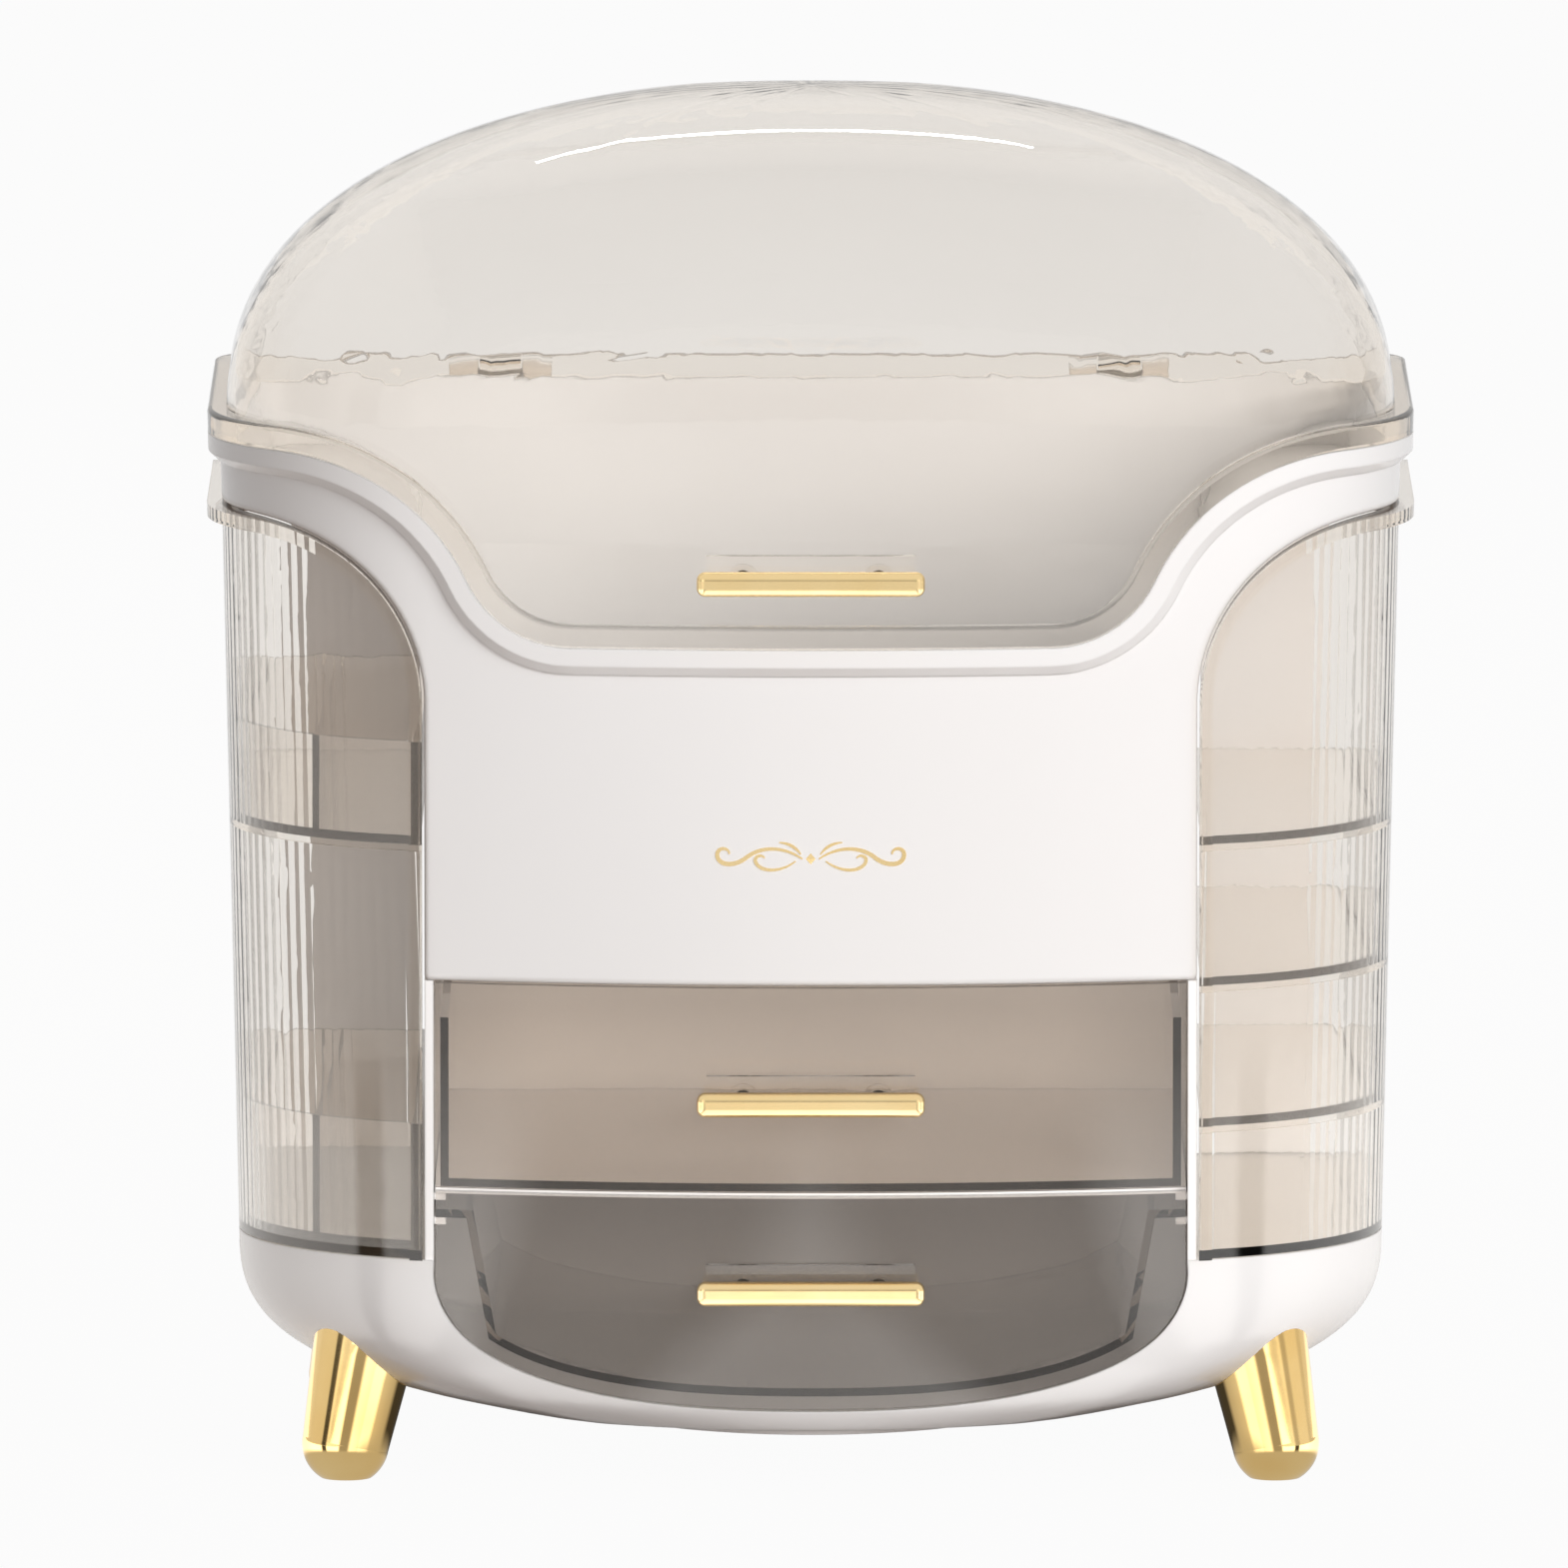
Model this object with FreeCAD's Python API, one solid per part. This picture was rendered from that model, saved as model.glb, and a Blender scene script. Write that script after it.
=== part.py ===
import FreeCAD, Part
import math
import os

os.makedirs("parts", exist_ok=True)
V = FreeCAD.Vector

# Makeup organizer: a white base and tub, a clear domed lid, two clear drawers and two clear side boxes.
# Millimetres, Z up, front towards -Y, origin under the middle of the whole organizer.

# Plan outline of the body
body_depth = 215.0
deck_half_width = 153.2
shoulder_flare = 4.3
front_radius = 422.0
corner_radius = 72.0
rear_radius = 14.0
wall = 2.5
reach = 400.0

# Heights, each one measured from the level before it
ground_clearance = 15.0
bowl_depth = 47.0
deck_thickness = 2.4
bay_height = 75.0
arch_height = 121.0
rim_rise = 18.5
spring_rise = 5.5
dome_height = 85.0

# S-curved parting line between the tub and the lid, seen from the front
crest_inset = 15.5
curve_span = 78.0
curve_drop = 49.3
crest_radius = 56.0
rim_projection = 3.3
rim_height = 7.2
rim_chamfer = 2.4
flange_height = 6.4
flange_round = 1.2
seat_gap = 0.3
tub_edge_round = 1.6
surface_match = 0.01
level_share = 0.5
upright_share = 0.95

# Centre column and the arches over the side boxes
side_box_width = 50.5
cheek = 2.4
arch_end = 3.5
side_gap = 0.6

# Domed lid
lid_inset = 1.2
skirt_drop = 12.2
skirt_mid_drop = 30.0
dome_power = 2.2
dome_rise_shares = (0.14, 0.28, 0.42, 0.56, 0.69, 0.8, 0.89, 0.955)
dome_ellipse_share = 0.78
dome_ease_power = 1.6

# Lid hinge along the back
hinge_inset = 69.2
knuckle_radius = 4.0
lid_knuckle_length = 11.0
tub_knuckle_length = 8.0
knuckle_gap = 0.4
hinge_gap = 0.6
hinge_pin_radius = 1.5
hinge_running = 0.06
knuckle_web = 5.2

# Base pan
bowl_power = 2.9
bowl_depth_shares = (0.0, 0.16, 0.32, 0.47, 0.6, 0.72, 0.82, 0.9, 0.955, 0.985)
bowl_round = 12.0
post_radius = 5.0
deck_gap = 1.3
post_inset = 25.2
post_front_setback = 87.75
post_rear_setback = 59.25

# Drawer bay and its ledges
bay_gap = 0.5
front_thickness = 3.0
front_recess = 0.5
seam_gap = 0.6
divider_thickness = 1.8
divider_rise = 19.4
divider_setback = 5.0
ledge_width = 3.4
ledge_thickness = 2.0
ledge_setback = 18.0
rail_rise = 11.0
back_recess = 3.0

# Middle drawer
middle_front_rise = 0.2
tray_wall = 2.2
middle_side_gap = 2.0
middle_box_drop = 10.0
drawer_tail = 10.0
slide_gap = 0.3

# Lower drawer
lower_front_drop = 0.8
keel_spring_drop = 1.0
keel_lift = 8.4
lower_power = 2.5
lower_curve_shares = (0.0, 0.25, 0.45, 0.62, 0.75, 0.85, 0.93, 0.98, 1.0)
tray_side_gap = 8.5
tray_slope_share = 0.1823
tray_inset = 3.4
flange_thickness = 2.2
flange_side_gap = 0.8

# Pull bars
bar_length = 60.5
bar_height = 6.6
bar_depth = 5.0
bar_round = 2.3
stem_length = 50.0
stem_height = 3.4
stem_depth = 4.4
pad_length = 55.4
pad_rise = 3.4
pad_depth = 2.5
pad_embed = 1.6
pull_screw_x = 18.0
pull_screw_radius = 1.1
pull_screw_bite = 6.0
pull_head_radius = 2.4
pull_head_height = 1.6
pull_boss_radius = 4.2
pull_boss_rise = 1.8
lid_pull_rise = 18.3
middle_pull_rise = 25.1
lower_pull_drop = 24.7

# Side boxes
box_floor = 2.2
lip_projection = 4.0
lip_width = 3.5
lip_rear_inset = 34.0
shelf_thickness = 2.2
shelf_pitch = 37.8
shelf_gap = 0.4
shelf_ledge = 2.4
shelf_ledge_drop = 1.8
tray_skin = 1.8
upper_tray_rise = 25.3
lower_tray_rise = 36.4
tray_divider_inset = 27.2
plate_thickness = 2.2
plate_inner_gap = 2.7
plate_outer_inset = 12.4
gusset_drop = 15.0
gusset_thickness = 3.0
gusset_depth = 30.0
rear_lift = 3.4
reed_pitch = 4.2
reed_depth = 0.1

# Side-box pivots
pivot_radius = 2.0
pivot_running = 0.06
pivot_boss_radius = 5.0
pivot_boss_drop = 8.0
pivot_bite = 6.0
pivot_gap = 1.0

# Feet
foot_inset = 27.2
foot_front_setback = 37.75
foot_rear_setback = 43.25
foot_splay = 11.0
foot_rake = 5.0
foot_top_drop = 12.0
foot_low_radius = 11.6
foot_top_radius = 14.8
foot_round = 10.8
foot_sink = 1.6
foot_boss_radius = 6.5
foot_boss_rise = 5.0
foot_boss_drop = 21.0
foot_screw_radius = 1.6
foot_screw_rise = 1.0
foot_head_radius = 3.4
foot_head_height = 2.4

# Countersunk screws of the deck and of the tub
sunk_radius = 1.6
sunk_head_radius = 3.2
sunk_head_depth = 1.6
sunk_length = 12.0
sunk_play = 0.2
tub_screw_front_setback = 87.75
tub_screw_rear_setback = 19.25
tub_screw_length = 9.0
tub_boss_half = 6.3
tub_boss_drop = 8.0

# The body shifts along Y so that the pull bars and the hinge knuckles reach equally far from the middle
pull_projection = pad_depth + stem_depth + bar_depth - front_recess
hinge_projection = rim_projection + hinge_gap + 2 * knuckle_radius
plan_shift = (pull_projection - hinge_projection) / 2
front_y = plan_shift - body_depth / 2
back_y = plan_shift + body_depth / 2
hinge_y = back_y + rim_projection + hinge_gap + knuckle_radius

# Widths that follow from the body's half width at the deck
shoulder_half_width = deck_half_width + shoulder_flare
lid_half_width = shoulder_half_width - lid_inset
lid_half_depth = body_depth / 2 - lid_inset
column_half_width = deck_half_width - side_box_width
bay_half_width = column_half_width - cheek
front_half_width = bay_half_width - bay_gap
tray_half_width = bay_half_width - tray_side_gap
box_inner_x = column_half_width + side_gap
arch_radius = side_box_width - arch_end
arch_x = column_half_width + arch_radius
crest_x = shoulder_half_width - crest_inset
dip_x = crest_x - curve_span
hinge_x = deck_half_width - hinge_inset
pivot_x = deck_half_width - rear_radius
post_x = deck_half_width - post_inset
foot_x = deck_half_width - foot_inset
tub_screw_x = bay_half_width - tub_boss_half
tray_divider_x = box_inner_x + tray_divider_inset
plate_inner_x = box_inner_x + plate_inner_gap
plate_outer_x = deck_half_width - plate_outer_inset

# Depths that follow from the front and the back
pivot_y = back_y - rear_radius
post_front_y = front_y + post_front_setback
post_rear_y = back_y - post_rear_setback
foot_front_y = front_y + foot_front_setback
foot_rear_y = back_y - foot_rear_setback
tub_screw_front_y = front_y + tub_screw_front_setback
tub_screw_rear_y = back_y - tub_screw_rear_setback

# Levels that follow from the heights
deck_z = ground_clearance + bowl_depth
tub_floor_z = deck_z + bay_height
shoulder_z = tub_floor_z + arch_height
arch_z = shoulder_z - arch_radius
rim_side_z = shoulder_z + rim_rise
rim_dip_z = rim_side_z - curve_drop
lid_spring_z = rim_side_z + spring_rise
lid_top_z = lid_spring_z + dome_height
skirt_low_z = rim_dip_z - skirt_drop
skirt_mid_z = lid_spring_z - skirt_mid_drop
divider_top_z = deck_z + divider_rise
rail_top_z = deck_z + rail_rise
middle_low_z = divider_top_z + middle_front_rise
middle_box_top_z = tub_floor_z - middle_box_drop
lower_top_z = divider_top_z - lower_front_drop
lower_spring_z = deck_z - keel_spring_drop
lower_drop = lower_spring_z - ground_clearance - keel_lift
lid_pull_z = rim_dip_z + lid_pull_rise
middle_pull_z = divider_top_z + middle_pull_rise
lower_pull_z = lower_top_z - lower_pull_drop
gusset_low_z = shoulder_z - gusset_drop
gusset_high_z = gusset_low_z + gusset_thickness
rear_top_z = gusset_high_z + rear_lift
box_low_z = deck_z + seat_gap
box_floor_top_z = box_low_z + box_floor
foot_length = deck_z - foot_top_drop
foot_boss_low = ground_clearance + foot_boss_rise
foot_boss_top = deck_z - foot_boss_drop
foot_screw_low = ground_clearance + foot_screw_rise
dip_radius = (curve_span ** 2 + curve_drop ** 2) / (2 * curve_drop) - crest_radius


def slab(low, high):
    # a box between two corners
    size = high - low
    return Part.makeBox(size.x, size.y, size.z, low)


def rod(radius, start, end):
    # a round bar between two points
    axis = end - start
    return Part.makeCylinder(radius, axis.Length, start, axis)


def arc(start, middle, end):
    return Part.Arc(start, middle, end).toShape()


def line(start, end):
    return Part.LineSegment(start, end).toShape()


def path(points):
    # straight edges from point to point
    return [line(a, b) for a, b in zip(points, points[1:])]


def mirrored(shape):
    return shape.mirror(V(0, 0, 0), V(1, 0, 0))


def flip(point):
    return V(-point.x, point.y, point.z)


def both_sides(shape):
    return [shape, mirrored(shape)]


def joined(shapes):
    whole = shapes[0].fuse(shapes[1:])
    return whole.removeSplitter()


def power_curve(share, power):
    # height share of a superellipse at a share of its half width
    return (1.0 - share ** power) ** (1.0 / power)


def width_at(z):
    # half width of the body, which widens a little from the deck to the shoulders
    rise_share = (z - deck_z) / (shoulder_z - deck_z)
    return deck_half_width + rise_share * (shoulder_half_width - deck_half_width)


def plan_edges(half_width, inset, z):
    # bowed front, round front corners, straight sides, flat back with small corners
    centre = V(0, front_y + front_radius, z)
    swing = front_radius - corner_radius
    corner_x = half_width - corner_radius
    corner = V(corner_x, centre.y - math.sqrt(swing ** 2 - corner_x ** 2), z)
    lean = (corner - centre).normalize()
    half_lean = (lean + V(1, 0, 0)).normalize()
    rear = V(half_width - rear_radius, back_y - rear_radius, z)
    rear_lean = V(1, 1, 0).normalize()
    front_middle = V(0, front_y + inset, z)
    tangent = centre + lean * (front_radius - inset)
    bend = corner + half_lean * (corner_radius - inset)
    side_front = V(half_width - inset, corner.y, z)
    side_rear = V(half_width - inset, rear.y, z)
    rear_bend = rear + rear_lean * (rear_radius - inset)
    back = V(rear.x, back_y - inset, z)
    edges = [arc(flip(tangent), front_middle, tangent)]
    edges.append(arc(tangent, bend, side_front))
    edges.append(line(side_front, side_rear))
    edges.append(arc(side_rear, rear_bend, back))
    edges.append(line(back, flip(back)))
    edges.append(arc(flip(back), flip(rear_bend), flip(side_rear)))
    edges.append(line(flip(side_rear), flip(side_front)))
    edges.append(arc(flip(side_front), flip(bend), flip(tangent)))
    return edges


def body(inset, low_z, high_z):
    # the body's outline between two levels, drawn in by an inset
    low = Part.Wire(plan_edges(width_at(low_z), inset, low_z))
    high = Part.Wire(plan_edges(width_at(high_z), inset, high_z))
    return Part.makeLoft([low, high], True, True)


def prism(edges, low_y, high_y):
    # a front-view outline drawn at y = 0, run from one depth to another
    face = Part.Face(Part.Wire(edges))
    face.translate(V(0, low_y, 0))
    return face.extrude(V(0, high_y - low_y, 0))


def rim_edges(rise):
    # the S-curved line across the front, from the left to the right, raised by an offset
    crest = V(crest_x, 0, rim_side_z - crest_radius)
    dip = V(dip_x, 0, rim_dip_z + dip_radius)
    lean = (dip - crest).normalize()
    crest_lean = (lean + V(0, 0, 1)).normalize()
    dip_lean = (V(0, 0, -1) - lean).normalize()
    far = V(reach, 0, rim_side_z + rise)
    crest_top = V(crest_x, 0, rim_side_z + rise)
    crest_middle = crest + crest_lean * (crest_radius + rise)
    meeting = crest + lean * (crest_radius + rise)
    dip_middle = dip + dip_lean * (dip_radius - rise)
    dip_low = V(dip_x, 0, rim_dip_z + rise)
    edges = [line(flip(far), flip(crest_top))]
    edges.append(arc(flip(crest_top), flip(crest_middle), flip(meeting)))
    edges.append(arc(flip(meeting), flip(dip_middle), flip(dip_low)))
    edges.append(line(flip(dip_low), dip_low))
    edges.append(arc(dip_low, dip_middle, meeting))
    edges.append(arc(meeting, crest_middle, crest_top))
    edges.append(line(crest_top, far))
    return edges


def below_rim(rise):
    # everything under the parting line: S-curved in the front half, level in the rear half
    edges = rim_edges(rise)
    side = V(reach, 0, rim_side_z + rise)
    edges += path([side, V(reach, 0, 0), V(-reach, 0, 0), flip(side)])
    front = prism(edges, -reach, plan_shift)
    rear = slab(V(-reach, plan_shift, 0), V(reach, reach, rim_side_z + rise))
    return joined([front, rear])


def above_tub_floor(offset):
    # everything over the T-shaped underside of the tub
    side_x = column_half_width - offset
    level = shoulder_z + offset
    floor = tub_floor_z + offset
    diagonal = math.sqrt(0.5) * (arch_radius + offset)
    shoulder = V(arch_x, 0, level)
    spring = V(side_x, 0, arch_z)
    bend = V(arch_x - diagonal, 0, arch_z + diagonal)
    right = [line(V(reach, 0, level), shoulder), arc(shoulder, bend, spring)]
    right += path([spring, V(side_x, 0, floor), V(-side_x, 0, floor), flip(spring)])
    right += [arc(flip(spring), flip(bend), flip(shoulder)), line(flip(shoulder), V(-reach, 0, level))]
    top = [V(-reach, 0, level), V(-reach, 0, lid_top_z), V(reach, 0, lid_top_z), V(reach, 0, level)]
    return prism(right + path(top), -reach, reach)


def under_arch(offset):
    # everything right of the centre column and under the right arch
    inner_x = box_inner_x + offset
    top_z = shoulder_z - side_gap - offset
    radius = arch_radius - side_gap - offset
    diagonal = math.sqrt(0.5) * radius
    spring = V(inner_x, 0, arch_z)
    crown = V(arch_x, 0, top_z)
    bend = V(arch_x - diagonal, 0, arch_z + diagonal)
    edges = [arc(spring, bend, crown)]
    edges += path([crown, V(reach, 0, top_z), V(reach, 0, 0), V(inner_x, 0, 0), spring])
    return prism(edges, -reach, reach)


# Points round the plan outline, closer together at its bends, for the smooth bowl and dome
plan_counts = (18, 12, 12, 8, 17, 8, 12, 12)
plan_points = []
for edge, count in zip(plan_edges(deck_half_width, 0, 0), plan_counts):
    first, last = edge.ParameterRange
    steps = [(1.0 - math.cos(math.pi * n / (count - 1))) / 2 for n in range(count)]
    stations = [edge.valueAt(first + (last - first) * step) for step in steps]
    if plan_points and (stations[0] - plan_points[-1]).Length > (stations[-1] - plan_points[-1]).Length:
        stations.reverse()
    plan_points += stations if not plan_points else stations[1:]
plan_points.pop()
seam = max(range(len(plan_points)), key=lambda n: plan_points[n].y - abs(plan_points[n].x))
plan_points = plan_points[seam:] + plan_points[:seam]
plan_marks = [0.0]
for spot, after in zip(plan_points, plan_points[1:] + plan_points[:1]):
    plan_marks.append(plan_marks[-1] + (after - spot).Length)


def smooth_ring(half_width, half_depth, ellipse_share, z):
    # the plan outline scaled to a width and depth and eased towards an ellipse
    points = []
    for spot in plan_points:
        u = spot.x / deck_half_width
        v = (spot.y - plan_shift) / (body_depth / 2)
        length = math.hypot(u, v)
        ease = 1.0 - ellipse_share + ellipse_share / length
        points.append(V(half_width * u * ease, plan_shift + half_depth * v * ease, z))
    curve = Part.BSplineCurve()
    curve.interpolate(Points=points, PeriodicFlag=True, Parameters=plan_marks)
    return Part.Wire(curve.toShape())


def bowl(skin, top_z):
    # the base's bowl, drawn in by a skin thickness
    depth = bowl_depth - skin
    half_width = deck_half_width - skin
    half_depth = body_depth / 2 - skin
    turn = bowl_round - skin
    rings = []
    if top_z > deck_z:
        rings.append(smooth_ring(half_width, half_depth, 0, top_z))
    for share in bowl_depth_shares:
        z = deck_z - depth * share
        low = max(0.0, turn - depth * (1.0 - share))
        draw_in = turn - math.sqrt(turn ** 2 - low ** 2)
        rings.append(smooth_ring(half_width * power_curve(share, bowl_power), half_depth - draw_in, 0, z))
    return Part.makeLoft(rings, True, False)


def dome(skin):
    # the lid's outer form, drawn in by a skin thickness
    half_width = lid_half_width - skin
    half_depth = lid_half_depth - skin
    height = dome_height - skin
    rings = [smooth_ring(half_width, half_depth, 0, z) for z in (skirt_low_z, skirt_mid_z, lid_spring_z)]
    for share in dome_rise_shares:
        scale_share = power_curve(share, dome_power)
        ring_ease = dome_ellipse_share * share ** dome_ease_power
        z = lid_spring_z + height * share
        rings.append(smooth_ring(half_width * scale_share, half_depth * scale_share, ring_ease, z))
    rings.append(Part.Vertex(V(0, plan_shift, lid_spring_z + height)))
    return Part.makeLoft(rings, True, False)


def wall_edges(solid, form, low_z):
    # the edges of a solid that run round the outer wall of a form, from a level up to the form's top
    skin = Part.makeShell([face for face in form.Faces if abs(face.normalAt(0, 0).z) < level_share])
    found = []
    for edge in solid.Edges:
        ends = [edge.valueAt(t) for t in (edge.FirstParameter, edge.LastParameter)]
        middle = edge.valueAt((edge.FirstParameter + edge.LastParameter) / 2)
        upright = abs(ends[0].z - ends[1].z) > upright_share * (ends[0] - ends[1]).Length
        inside = form.BoundBox.ZMax - seat_gap > middle.z > low_z
        if inside and not upright and Part.Vertex(middle).distToShape(skin)[0] < surface_match:
            found.append(edge)
    return found


def shared_edges(solid, first, second):
    # the edges of a solid along which the skins of two forms meet
    skins = [Part.makeShell(form.Faces) for form in (first, second)]
    found = []
    for edge in solid.Edges:
        middle = Part.Vertex(edge.valueAt((edge.FirstParameter + edge.LastParameter) / 2))
        if all(middle.distToShape(skin)[0] < surface_match for skin in skins):
            found.append(edge)
    return found


def save(name, shape):
    shape.exportStep("parts/" + name + ".step")


# Pull bars, their pads on the fronts and their screws

def pull_pad(surface_y, z):
    half = pad_length / 2
    low = V(-half, surface_y - pad_depth, z - bar_height / 2)
    high = V(half, surface_y + pad_embed, z + bar_height / 2 + pad_rise)
    return slab(low, high)


def pull_bosses(surface_y, thickness, z):
    # flat seats for the screw heads on the inside of a front
    shapes = []
    for x in (-pull_screw_x, pull_screw_x):
        start = V(x, surface_y + thickness / 2, z)
        shapes.append(rod(pull_boss_radius, start, V(x, surface_y + thickness + pull_boss_rise, z)))
    return shapes


def pull_holes(surface_y, thickness, z):
    shapes = []
    for x in (-pull_screw_x, pull_screw_x):
        start = V(x, surface_y - pad_depth, z)
        seat = V(x, surface_y + thickness + pull_boss_rise, z)
        shapes.append(rod(pull_screw_radius + sunk_play, start, seat))
    return shapes


def pull_screws(surface_y, thickness, z):
    shapes = []
    for x in (-pull_screw_x, pull_screw_x):
        seat = V(x, surface_y + thickness + pull_boss_rise, z)
        tip = V(x, surface_y - pad_depth - pull_screw_bite, z)
        head = rod(pull_head_radius, seat, seat + V(0, pull_head_height, 0))
        shapes.append(head.fuse(rod(pull_screw_radius, tip, seat)).removeSplitter())
    return Part.makeCompound(shapes)


def pull_bar(surface_y, z):
    pad_y = surface_y - pad_depth
    bar_y = pad_y - stem_depth
    low = V(-bar_length / 2, bar_y - bar_depth, z - bar_height / 2)
    bar = slab(low, V(bar_length / 2, bar_y, z + bar_height / 2))
    bar = bar.makeFillet(bar_round, bar.Edges)
    stem_low = V(-stem_length / 2, bar_y - bar_depth / 2, z - stem_height / 2)
    bar = joined([bar, slab(stem_low, V(stem_length / 2, pad_y, z + stem_height / 2))])
    for x in (-pull_screw_x, pull_screw_x):
        tip = V(x, surface_y - pad_depth - pull_screw_bite, z)
        bar = bar.cut(rod(pull_screw_radius, tip, V(x, pad_y, z)))
    return bar


def fit_pull(front, surface_y, thickness, z):
    # a front with the pad, the screw seats and the screw holes of its pull bar
    front = joined([front, pull_pad(surface_y, z)] + pull_bosses(surface_y, thickness, z))
    return front.cut(pull_holes(surface_y, thickness, z))


def sunk_screw(seat, length):
    # a countersunk screw whose flat top lies at the seat point
    neck = seat - V(0, 0, sunk_head_depth)
    head = Part.makeCone(sunk_radius, sunk_head_radius, sunk_head_depth, neck)
    return head.fuse(rod(sunk_radius, seat - V(0, 0, length), neck)).removeSplitter()


def sunk_hole(seat, depth):
    # the clearance hole and the countersink for it
    neck = seat - V(0, 0, sunk_head_depth)
    cone = Part.makeCone(sunk_radius, sunk_head_radius, sunk_head_depth, neck)
    return cone.fuse(rod(sunk_radius + sunk_play, seat - V(0, 0, depth), neck))


# Base pan, feet and their screws
bowl_outer = bowl(0, deck_z)
bowl_inner = bowl(wall, deck_z + rim_height)


def lower_edges(half_width, drop, top_z):
    # outline of the lower drawer front: straight sides over a curved keel
    points = []
    for share in lower_curve_shares:
        points.append(V(half_width * share, 0, lower_spring_z - drop * power_curve(share, lower_power)))
    points = [flip(p) for p in reversed(points)] + points[1:]
    curve = Part.BSplineCurve()
    curve.interpolate(points)
    top = [points[-1], V(half_width, 0, top_z), V(-half_width, 0, top_z), points[0]]
    return [curve.toShape()] + path(top)


def foot_frame(x_side, y):
    # placement of a foot: it leans outwards to the side and to the front or back
    y_side = 1 if y > 0 else -1
    splay = math.tan(math.radians(foot_splay))
    rake = math.tan(math.radians(foot_rake))
    direction = V(-x_side * splay, -y_side * rake, 1)
    turn = FreeCAD.Rotation(V(0, 0, 1), direction)
    return FreeCAD.Placement(V(x_side * foot_x, y, 0), turn)


def placed(shape, frame):
    moved = shape.copy()
    moved.Placement = frame
    return moved


foot_corner = foot_round * math.sqrt(0.5)
foot_low = [V(0, 0, -foot_sink), V(foot_low_radius - foot_round, 0, -foot_sink)]
foot_bend = V(foot_low[1].x + foot_corner, 0, foot_round - foot_sink - foot_corner)
foot_side = V(foot_low_radius, 0, foot_round - foot_sink)
foot_edges = path(foot_low)
foot_edges.append(arc(foot_low[1], foot_bend, foot_side))
foot_edges += path([foot_side, V(foot_top_radius, 0, foot_length), V(0, 0, foot_length), foot_low[0]])
foot_face = Part.Face(Part.Wire(foot_edges))
foot_blank = foot_face.revolve(V(0, 0, 0), V(0, 0, 1), 360)
foot_bore = rod(foot_screw_radius, V(0, 0, foot_screw_low), V(0, 0, foot_length))
foot_boss = rod(foot_boss_radius, V(0, 0, foot_boss_low), V(0, 0, foot_boss_top))
foot_hole = rod(foot_screw_radius + sunk_play, V(0, 0, foot_boss_low), V(0, 0, foot_boss_top))
foot_head = rod(foot_head_radius, V(0, 0, foot_boss_top), V(0, 0, foot_boss_top + foot_head_height))
foot_shank = rod(foot_screw_radius, V(0, 0, foot_screw_low), V(0, 0, foot_boss_top))
foot_screw = joined([foot_shank, foot_head])
ground = slab(V(-reach, -reach, -reach), V(reach, reach, 0))

foot_frames = {}
foot_frames["front_left_foot"] = foot_frame(-1, foot_front_y)
foot_frames["front_right_foot"] = foot_frame(1, foot_front_y)
foot_frames["rear_left_foot"] = foot_frame(-1, foot_rear_y)
foot_frames["rear_right_foot"] = foot_frame(1, foot_rear_y)

base_pan = bowl_outer.cut(bowl_inner)
keel_cut = prism(lower_edges(bay_half_width, lower_drop + bay_gap, deck_z + rim_height), -reach, plan_shift)
base_pan = base_pan.cut(keel_cut)
deck_low_z = deck_z - deck_thickness
post_spots = [(x, y) for x in (-post_x, post_x) for y in (post_front_y, post_rear_y)]
bosses = [rod(post_radius, V(x, y, 0), V(x, y, deck_low_z)) for x, y in post_spots]
bosses += [placed(foot_boss, frame) for frame in foot_frames.values()]
for boss in bosses:
    base_pan = base_pan.fuse(boss.common(bowl_outer))
post_bores = [rod(sunk_radius, V(x, y, deck_z - sunk_length), V(x, y, deck_z)) for x, y in post_spots]
base_pan = base_pan.cut(post_bores + [placed(foot_hole, frame) for frame in foot_frames.values()])
save("base_pan", base_pan)

for name, frame in foot_frames.items():
    foot = placed(foot_blank.cut(foot_bore), frame)
    save(name, foot.cut(ground).cut(bowl_outer))
save("foot_screws", Part.makeCompound([placed(foot_screw, frame) for frame in foot_frames.values()]))

# Drawer cabinet: deck, cheeks, back, ledges and screw bosses in one white moulding
cabinet_back_y = back_y - back_recess
cabinet_inner_y = cabinet_back_y - cheek
ledge_front_y = front_y + ledge_setback
deck = body(wall + deck_gap, deck_low_z, deck_z)
deck_gap = slab(V(-bay_half_width, -reach, 0), V(bay_half_width, cabinet_inner_y, deck_z + rim_height))
deck = deck.cut(deck_gap)
cheek_body = body(front_recess, deck_z - deck_thickness / 2, tub_floor_z)
cheek_zone = slab(V(bay_half_width, -reach, deck_z), V(column_half_width, cabinet_back_y, tub_floor_z))
right_cheek = cheek_body.common(cheek_zone)
back_low = V(-column_half_width, cabinet_inner_y, deck_low_z)
cabinet_back = slab(back_low, V(column_half_width, cabinet_back_y, tub_floor_z))


def ledge(top_z):
    low = V(bay_half_width - ledge_width, ledge_front_y, top_z - ledge_thickness)
    return slab(low, V(bay_half_width, cabinet_inner_y, top_z))


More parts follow.
